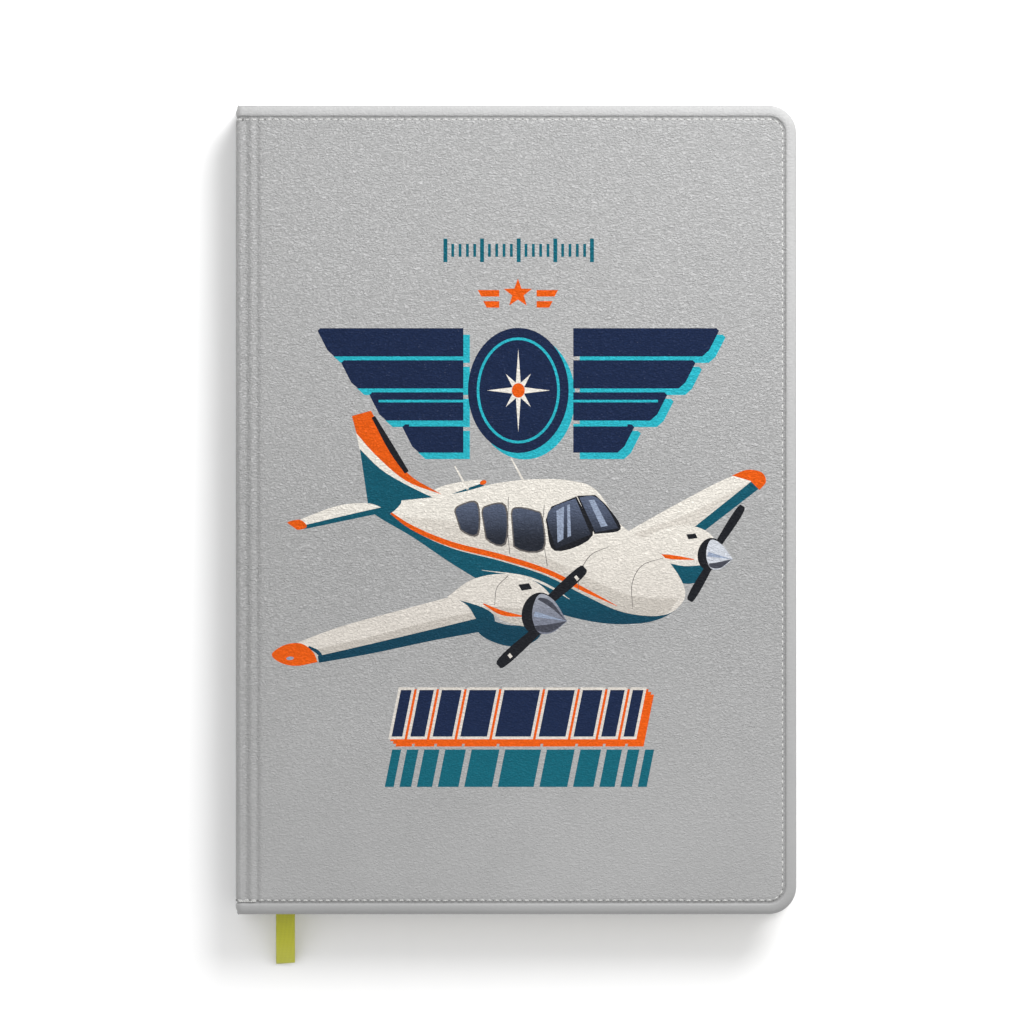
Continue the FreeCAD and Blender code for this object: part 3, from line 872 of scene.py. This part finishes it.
def stitch_path():
    """Places and directions of the stitches, from the spine's head round to its tail."""
    start = SPINE_X + 1.0
    side = FORE_X - CORNER_RADIUS - start
    arc = (CORNER_RADIUS - STITCH_INSET) * math.pi / 2
    runs = [side, arc, 2 * (HEAD_Y - CORNER_RADIUS), arc, side]
    total = sum(runs)
    count = round(total / STITCH_PITCH)
    places = []
    for i in range(count + 1):
        s = total * i / count
        part = 0
        while part < 4 and s > runs[part]:
            s -= runs[part]
            part += 1
        places.append(outline_point(STITCH_INSET, part, s / runs[part], start))
    return places


def add_stitch(verts, faces, middle, along, up, length, radius, lift):
    """One stitch: a short thread that dives into the skin at both ends."""
    side = np.cross(up, along)
    rings, sides = 7, 8
    for i in range(rings):
        t = 2 * i / (rings - 1) - 1
        r = radius * math.sqrt(max(1 - abs(t) ** 3.2, 0.06))
        centre = middle + along * (t * length / 2) + up * (lift * (1 - t * t) - 0.1 * t * t)
        for k in range(sides):
            a = 2 * math.pi * k / sides
            verts.append(centre + side * (r * math.cos(a)) + up * (0.8 * r * math.sin(a)))
    first = len(verts) - rings * sides
    for i in range(rings - 1):
        for k in range(sides):
            a, b = first + i * sides + k, first + i * sides + (k + 1) % sides
            faces.append((a, b, b + sides, a + sides))
    faces.append(tuple(first + k for k in range(sides))[::-1])
    faces.append(tuple(first + (rings - 1) * sides + k for k in range(sides)))


def lie_of(x, y, dx, dy, inset):
    """The face under a stitch: (middle, along, up)."""
    z = surface_at(x, inset)
    rise = (surface_at(x + 0.2 * dx, inset) - z) / 0.2
    along = np.array([dx, dy, rise])
    along /= np.linalg.norm(along)
    up = np.cross(along, (-dy, dx, 0.0))
    return np.array([x, y, z]), along, up if up[2] > 0 else -up


def make_stitching(materials):
    """Thread and needle holes round three sides of both covers."""
    for front in (True, False):
        rng = random.Random(11 if front else 12)
        verts, faces, holes, hole_faces = [], [], [], []
        for x, y, dx, dy in stitch_path():
            middle, along, up = lie_of(x, y, dx, dy, STITCH_INSET)
            turn = rng.uniform(-STITCH_SLEW, STITCH_SLEW)
            across = np.array([-dy, dx, 0.0])
            slewed = along * math.cos(turn) + across * math.sin(turn)
            stray = across * rng.uniform(-STITCH_STRAY, STITCH_STRAY)
            add_stitch(verts, faces, middle - up * 0.05 + stray, slewed, up,
                       STITCH_LENGTH * rng.uniform(0.94, 1.05), STITCH_RADIUS, 0.08)
            add_stitch(holes, hole_faces, middle + along * (STITCH_PITCH / 2) - up * HOLE_SUNK,
                       along, up, HOLE_LENGTH, HOLE_RADIUS, 0.0)
        for k in range(BACK_TACK):
            inset = STITCH_INSET - 0.3
            x = SPINE_X + 1.4 + BACK_TACK_PITCH * k
            middle, along, up = lie_of(x, inset - HEAD_Y, 1, 0, inset)
            add_stitch(verts, faces, middle + up * 0.02, along, up, STITCH_LENGTH,
                       STITCH_RADIUS, 0.1)
        side = "front" if front else "back"
        base, threads = len(verts), len(faces)
        faces += [tuple(base + i for i in f) for f in hole_faces]
        obj = new_object(f"{side}_stitching", verts + holes, faces)
        for polygon in obj.data.polygons[threads:]:
            polygon.material_index = 1
        if not front:
            mirror_down(obj)
        for material in materials:
            obj.data.materials.append(material)
        keep_rest(obj)
        bend_with_case(obj, front)
        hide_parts(f"{side}_edge_thread")


def needle_hole_material():
    """Shadowed leather where the needle went in."""
    n = Nodes("needle_hole")
    speck = n.noise(n.rest((3.0, 3.0, 3.0)), 2.0)
    return n.finish(n.mix(speck, srgb(108, 108, 107), srgb(126, 126, 125)), 0.8, specular=0.1)


def thread_material(name, color):
    """Twisted thread, its pattern fixed to the rest positions."""
    n = Nodes(name)
    twist = n.wave(n.rest((1, 1, 1), 0.7), 0.7, "X", 0.6)
    tone = n.mix(n.ramp(twist, 0.0, 1.0), times(color, 0.7), color)
    return n.finish(tone, 0.6, n.bump(twist, 0.03), sheen=0.3)


# ---- camera, floor and light
def make_stage():
    """Camera straight above, pale floor and studio light."""
    camera = bpy.data.cameras.new("camera")
    camera.sensor_width = SENSOR
    camera.lens = SENSOR * CAMERA_HEIGHT / VIEW_WIDTH
    camera.clip_start, camera.clip_end = 0.05, 20
    eye = bpy.data.objects.new("camera", camera)
    eye.location = (VIEW_CENTRE[0] * MM, VIEW_CENTRE[1] * MM, (TOP + CAMERA_HEIGHT) * MM)
    bpy.context.scene.collection.objects.link(eye)
    bpy.context.scene.camera = eye

    corners = [(x * FLOOR_HALF, y * FLOOR_HALF, 0) for x, y in ((-1, -1), (1, -1), (1, 1), (-1, 1))]
    floor = new_object("floor", corners, [(0, 1, 2, 3)], False)
    n = Nodes("floor")
    speck = n.noise(n.place((0.01, 0.01, 0.01)), 2.0)
    tone = n.mix(speck, (0.96, 0.96, 0.96, 1), (0.98, 0.98, 0.98, 1))
    floor.data.materials.append(n.finish(tone, 0.9, specular=0.1))

    world = bpy.data.worlds.new("studio")
    bpy.context.scene.world = world
    world.use_nodes = True
    sky = world.node_tree.nodes["Background"]
    sky.inputs[0].default_value = (1, 1, 1, 1)
    sky.inputs[1].default_value = WORLD_LIGHT
    for name, place, size, power in LIGHTS:
        light = bpy.data.lights.new(name, "AREA")
        light.shape = "DISK"
        light.size = size
        light.energy = power
        obj = bpy.data.objects.new(name, light)
        obj.location = place
        obj.rotation_euler = (-Vector(place)).to_track_quat("-Z", "Y").to_euler()
        bpy.context.scene.collection.objects.link(obj)
    view = bpy.context.scene.view_settings
    view.view_transform = "Standard"
    view.look = "None"


WORLD_LIGHT = 0.78
LIGHTS = (  # name, place and size in metres, watts
    ("key", (0.22, 0.38, 0.4), 0.4, 3.8),
    ("fill", (-0.7, 0.5, 1.3), 1.2, 1.5),
)


# ---- ribbon
RIBBON_ROUTE = (
    (-66.7, 104.0, 8.655), (-60.7, -101.5, 8.655), (-60.65, -108.5, 8.655),
    (-60.75, -115.4, 5.705), (-60.85, -119.7, 0.905),
)


def route_points():
    """Points along the ribbon's smooth line, in metres."""
    curve = bpy.data.curves.new("ribbon_route", "CURVE")
    curve.dimensions = "3D"
    curve.resolution_u = 24
    line = curve.splines.new("NURBS")
    line.points.add(len(RIBBON_ROUTE) - 1)
    for point, place in zip(line.points, RIBBON_ROUTE):
        point.co = [v * MM for v in place] + [1.0]
    line.order_u = 3
    line.use_endpoint_u = True
    obj = bpy.data.objects.new("ribbon_route", curve)
    mesh = bpy.data.meshes.new_from_object(obj)
    points = [v.co.copy() for v in mesh.vertices]
    bpy.data.objects.remove(obj)
    bpy.data.curves.remove(curve)
    return points


def make_ribbon():
    """The ribbon marker, flat between the pages and drooping past the tail."""
    points = route_points()
    path = [np.array(p) / MM for p in points]
    count = len(path)
    verts, faces, rings = [], [], []
    for i, p in enumerate(path):
        ahead = path[min(i + 1, count - 1)] - path[max(i - 1, 0)]
        ahead /= np.linalg.norm(ahead)
        side = np.cross(ahead, (0, 0, 1.0))
        side /= np.linalg.norm(side)
        up = np.cross(side, ahead)
        ring = []
        for face in (1, -1):
            for k in range(RIBBON_LANES + 1)[::face]:
                t = k / RIBBON_LANES
                slant = RIBBON_CUT * (0.5 - t) if i == count - 1 else 0.0
                edge = 1 - abs(2 * t - 1) ** 8 * 0.6
                ring.append(len(verts))
                verts.append(p - side * ((t - 0.5) * RIBBON_WIDTH) + ahead * slant
                             + up * (face * RIBBON_THICK / 2 * edge))
        rings.append(ring)
    for a, b in zip(rings, rings[1:]):
        faces += [(a[k], a[(k + 1) % len(a)], b[(k + 1) % len(a)], b[k]) for k in range(len(a))]
    faces.append(tuple(rings[0])[::-1])
    faces.append(tuple(rings[-1]))
    obj = new_object("ribbon", verts, faces)
    tidy_mesh(obj)
    keep_rest(obj)
    obj.data.materials.append(ribbon_material())
    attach(obj, "ribbon")
    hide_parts("ribbon_marker")


def ribbon_material():
    """Olive satin: fine warp along the length, weft across."""
    n = Nodes("olive_satin")
    turn = math.atan2(RIBBON_ROUTE[1][0] - RIBBON_ROUTE[0][0],
                      RIBBON_ROUTE[0][1] - RIBBON_ROUTE[1][1])
    place = n.rest((1, 1, 1), turn)
    warp = n.wave(place, 0.9, "X", 0.15)
    weft = n.wave(place, 0.7, "Y", 0.15)
    weave = n.math("MULTIPLY_ADD", weft, 0.35, warp)
    cloud = n.noise(n.rest((0.25, 0.12, 0.25)), 2.0)
    tone = n.mix(n.ramp(weave, 0.1, 1.2), srgb(171, 172, 28), srgb(193, 193, 44))
    tone = n.mix(n.ramp(cloud, 0.35, 0.7, 0.0, 0.35), tone, srgb(181, 179, 32))
    return n.finish(tone, 0.38, n.bump(weave, 0.035), sheen=0.1, specular=0.5)


# ---- materials of the CAD pieces
RULE_PITCH = 7.0
RULED_TO = 88.0
RULED_COLUMNS = (-64.0, -46.0, -22.0, -2.0, 18.0, 34.0, 49.0, 64.0)
HEAD_RULE = 81.0


def paper_material(name, color, ruled):
    """Paper with fibres. Ruled: lines and columns printed on the pages' faces."""
    n = Nodes(name)
    fibres = n.noise(n.place((1.4, 0.9, 9.0)), 4.0, 0.7)
    facing = n.split(n.add("ShaderNodeTexCoord").outputs["Normal"])[2]
    cut = n.ramp(n.math("ABSOLUTE", facing), 0.3, 0.7, 1.0, 0.0)
    leaf = n.noise(n.place((0.012, 0.012, 3.4)), 4.0, 0.85)
    shade = times(color, 0.93)
    tone = n.mix(n.ramp(fibres, 0.3, 0.7), shade, color)
    # Dark lines along the leaves on the cut edges: painted shade between the leaves, also used as a
    # bump.
    lines = n.math("MULTIPLY", n.ramp(leaf, 0.4, 0.6), cut)
    tone = n.mix(lines, tone, times(color, 0.75))
    if ruled:
        x, y, _ = n.split(n.place())
        rows = n.ramp(n.math("PINGPONG", y, RULE_PITCH / 2), 0.05, 0.13, 1.0, 0.0)
        inside = n.math("LESS_THAN", n.math("ABSOLUTE", y), RULED_TO)
        within = n.math("LESS_THAN", n.math("ABSOLUTE", x), RULED_COLUMNS[-1])
        rows = n.math("MULTIPLY", n.math("MULTIPLY", rows, inside), within)
        columns = None
        for place in RULED_COLUMNS:
            line = n.math("ABSOLUTE", n.math("SUBTRACT", x, place))
            line = n.ramp(line, 0.08, 0.2, 1.0, 0.0)
            columns = line if columns is None else n.math("MAXIMUM", columns, line)
        columns = n.math("MULTIPLY", columns, inside)
        from_head = n.math("ABSOLUTE", n.math("SUBTRACT", y, HEAD_RULE))
        head = n.math("MULTIPLY", n.ramp(from_head, 0.2, 0.34, 1.0, 0.0), within)
        ink = n.math("MAXIMUM", n.math("MULTIPLY", rows, 0.55), n.math("MAXIMUM", columns, head))
        tone = n.mix(n.math("MULTIPLY", ink, 0.75), tone, srgb(96, 132, 150))
    normal = n.bump(lines, 0.05, n.bump(fibres, 0.02))
    return n.finish(tone, 0.82, normal, specular=0.25)


def board_material(name, color):
    """Grey board and card: short fibres and flecks."""
    n = Nodes(name)
    fibres = n.noise(n.place((0.8, 0.5, 3.0)), 5.0, 0.75)
    flecks = n.voronoi(n.place((0.9, 0.7, 2.0)))
    tone = n.mix(n.ramp(fibres, 0.3, 0.7), times(color, 0.8), color)
    tone = n.mix(n.ramp(flecks, 0.1, 0.16, 0.5, 0.0), tone, (0.12, 0.1, 0.08, 1))
    return n.finish(tone, 0.9, n.bump(fibres, 0.06), specular=0.2)


def mull_material(name, color):
    """Open-weave cloth stiffened with glue."""
    n = Nodes(name)
    a = n.wave(n.place(), 0.28, "Y")
    b = n.wave(n.place(), 0.28, "Z")
    weave = n.math("MAXIMUM", a, b)
    tone = n.mix(n.ramp(weave, 0.55, 0.9), srgb(170, 160, 136), color)
    return n.finish(tone, 0.8, n.bump(weave, 0.12), sheen=0.3)


def band_material(name):
    """Head band: two colours of thread wound over a core."""
    n = Nodes(name)
    wound = n.wave(n.place(), 0.14, "Z")
    threads = n.wave(n.place(), 0.9, "Z", 0.1)
    stripes = n.ramp(wound, 0.46, 0.54)
    tone = n.mix(stripes, srgb(86, 96, 104), srgb(226, 224, 216))
    tone = n.mix(n.ramp(threads, 0.0, 0.6, 0.45, 0.0), tone, srgb(60, 62, 66))
    return n.finish(tone, 0.55, n.bump(threads, 0.07), sheen=0.4)


def plain_thread(name, color):
    """Thread of a piece that doesn't bend."""
    n = Nodes(name)
    twist = n.wave(n.place((1, 1, 1), 0.6), 0.7, "Y", 0.4)
    tone = n.mix(twist, times(color, 0.75), color)
    return n.finish(tone, 0.6, n.bump(twist, 0.03), sheen=0.3)


def dress_nodes():
    """Gives every CAD piece that shows its material."""
    looks = {
        "grey_board": board_material("grey_board", srgb(150, 146, 138)),
        "filler_card": board_material("filler_card", srgb(205, 198, 182)),
        "endpaper": paper_material("endpaper", srgb(208, 203, 189), False),
        "page_paper": paper_material("page_paper", srgb(226, 220, 205), True),
        "kraft_paper": board_material("kraft_paper", srgb(176, 140, 98)),
        "open_weave_cloth": mull_material("mull_cloth", srgb(228, 222, 204)),
        "striped_band": band_material("striped_band"),
        "sewing_thread": plain_thread("sewing_thread", srgb(232, 228, 216)),
    }
    slots = {s["node"]: s["material_slot"] for s in frame["record"]["subparts"]}
    for node, obj in frame["nodes"].items():
        look = looks.get(slots[node])
        if look is None:
            continue
        if not obj.material_slots:
            obj.data.materials.append(look)
        for item in obj.material_slots:
            item.material = look


# ---- the scene
make_stage()
make_ribbon()
make_skins()
make_stitching([thread_material("edge_thread", srgb(196, 196, 194)), needle_hole_material()])
dress_nodes()
